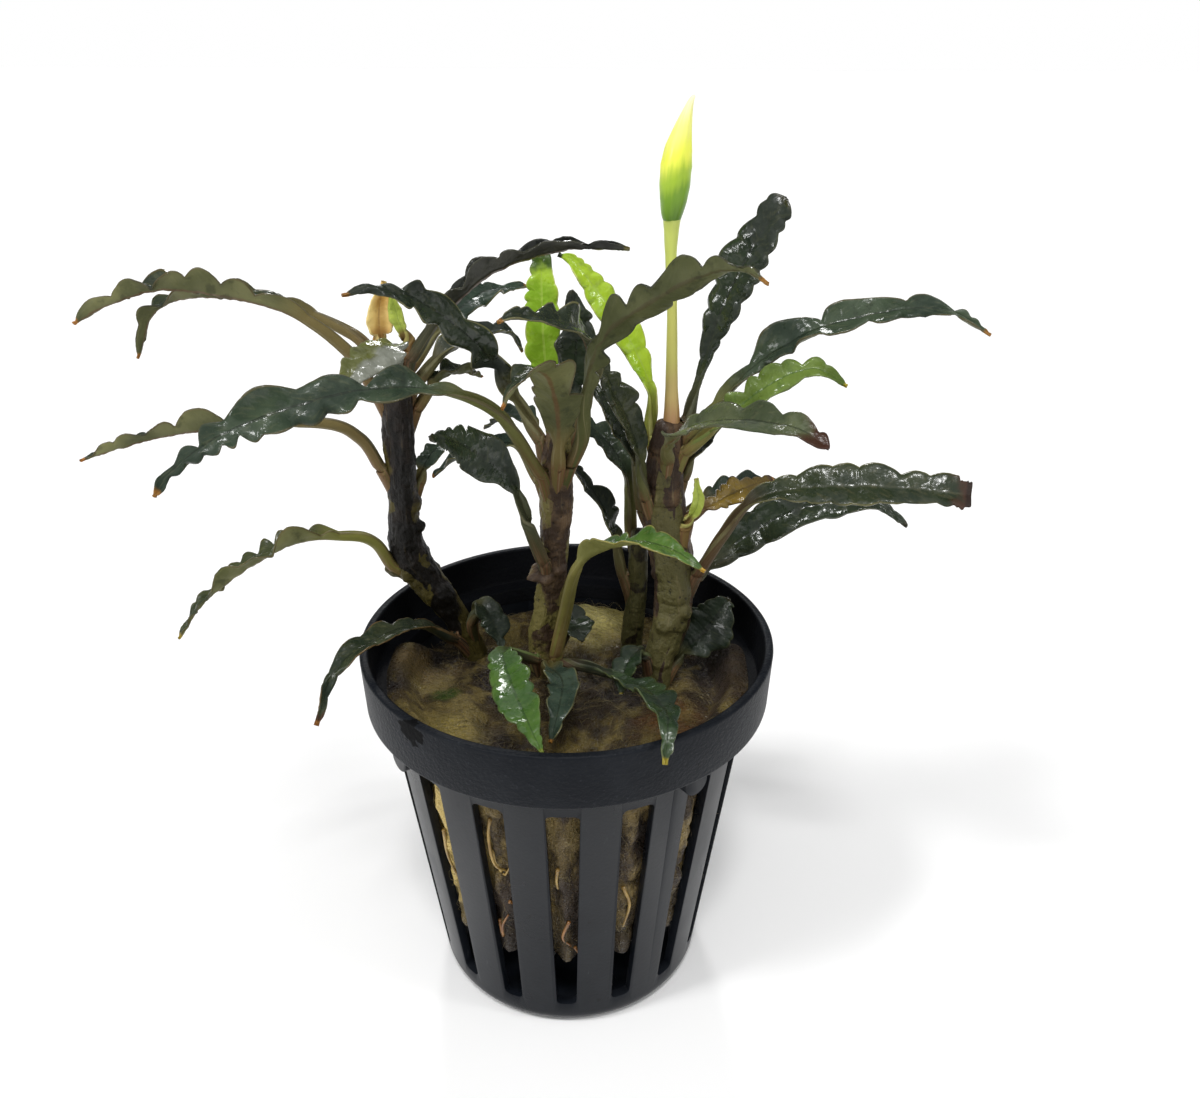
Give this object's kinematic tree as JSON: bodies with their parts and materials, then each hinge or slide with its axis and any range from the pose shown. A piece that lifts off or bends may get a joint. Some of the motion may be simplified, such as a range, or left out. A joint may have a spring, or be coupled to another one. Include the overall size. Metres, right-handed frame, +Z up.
{
  "type": "potted aquatic plant",
  "caption": "Potted bucephalandra: woody stems with scalloped dark green leaves and a closed flower spathe, rooted in mineral wool in a slotted net cup.",
  "frame": {"origin": "centre of the flat underside of the net cup", "axes": "+Z up out of the cup, the front of the plant faces -Y, +X to the right seen from the front"},
  "size_m": [0.0984, 0.052, 0.1096],
  "materials": {
    "cup": "moulded, blue black, fine pebbled grain, wet in places",
    "wool": "wet matted mineral wool, ochre to olive brown",
    "bark": "rough dark stem skin with pale sheath scars",
    "stalk": "smooth, straw green, tan at the foot",
    "spathe": "satin, green below, yellow above, orange point",
    "leaf_dark": "glossy dark green with fine silver glitter",
    "leaf_blue": "satin blue green with fine silver glitter",
    "leaf_grey": "satin grey green",
    "leaf_silver": "silver grey sheen over olive",
    "leaf_olive": "olive underside with a red brown midrib",
    "leaf_olive_dark": "dark olive underside",
    "leaf_bright": "young, bright yellow green",
    "leaf_fresh": "fresh green, glossy",
    "leaf_mid_green": "mid green, satin",
    "leaf_mid_dark": "mid green to dark green",
    "leaf_tip_green": "green with a dark tip",
    "leaf_worn": "olive with worn brown edges",
    "leaf_old": "old, golden brown",
    "leaf_dark_brown_end": "glossy dark green with a torn brown end",
    "sheath": "papery, tan",
    "bud": "smooth, yellow green"
  },
  "bodies": {
    "root": {"flower_spathe": "spathe", "flower_stalk": "stalk", "left_crown_bud": "bud", "left_crown_sheath": "sheath", "left_leaf_01": "leaf_olive", "left_leaf_02": "leaf_olive", "left_leaf_03": "leaf_olive", "left_leaf_04": "leaf_olive", "left_leaf_05": "leaf_worn", "left_leaf_06": "leaf_dark", "left_leaf_07": "leaf_silver", "left_leaf_08": "leaf_olive", "left_leaf_09": "leaf_grey", "left_leaf_10": "leaf_dark", "left_leaf_11": "leaf_grey", "left_leaf_12": "leaf_dark", "left_stem": "bark", "middle_leaf_01": "leaf_blue", "middle_leaf_02": "leaf_dark", "middle_leaf_03": "leaf_olive_dark", "middle_leaf_04": "leaf_bright", "middle_leaf_05": "leaf_dark", "middle_leaf_06": "leaf_dark", "middle_leaf_07": "leaf_olive", "middle_leaf_08": "leaf_dark", "middle_leaf_09": "leaf_grey", "middle_leaf_10": "leaf_grey", "middle_leaf_11": "leaf_tip_green", "middle_leaf_12": "leaf_mid_green", "middle_leaf_13": "leaf_silver", "middle_leaf_14": "leaf_dark", "middle_stem": "bark", "net_pot": "cup", "right_bud": "bud", "right_leaf_01": "leaf_dark", "right_leaf_02": "leaf_blue", "right_leaf_03": "leaf_fresh", "right_leaf_04": "leaf_olive", "right_leaf_05": "leaf_dark_brown_end", "right_leaf_06": "leaf_dark", "right_leaf_07": "leaf_old", "right_leaf_08": "leaf_grey", "right_leaf_09": "leaf_dark", "right_leaf_10": "leaf_olive_dark", "right_leaf_11": "leaf_dark", "right_leaf_12": "leaf_bright", "right_leaf_13": "leaf_dark", "right_leaf_14": "leaf_mid_dark", "right_leaf_15": "leaf_mid_dark", "right_stem": "bark", "side_leaf_01": "leaf_dark", "side_leaf_02": "leaf_blue", "side_stem": "bark", "wool_plug": "wool"}
  },
  "joints": []
}
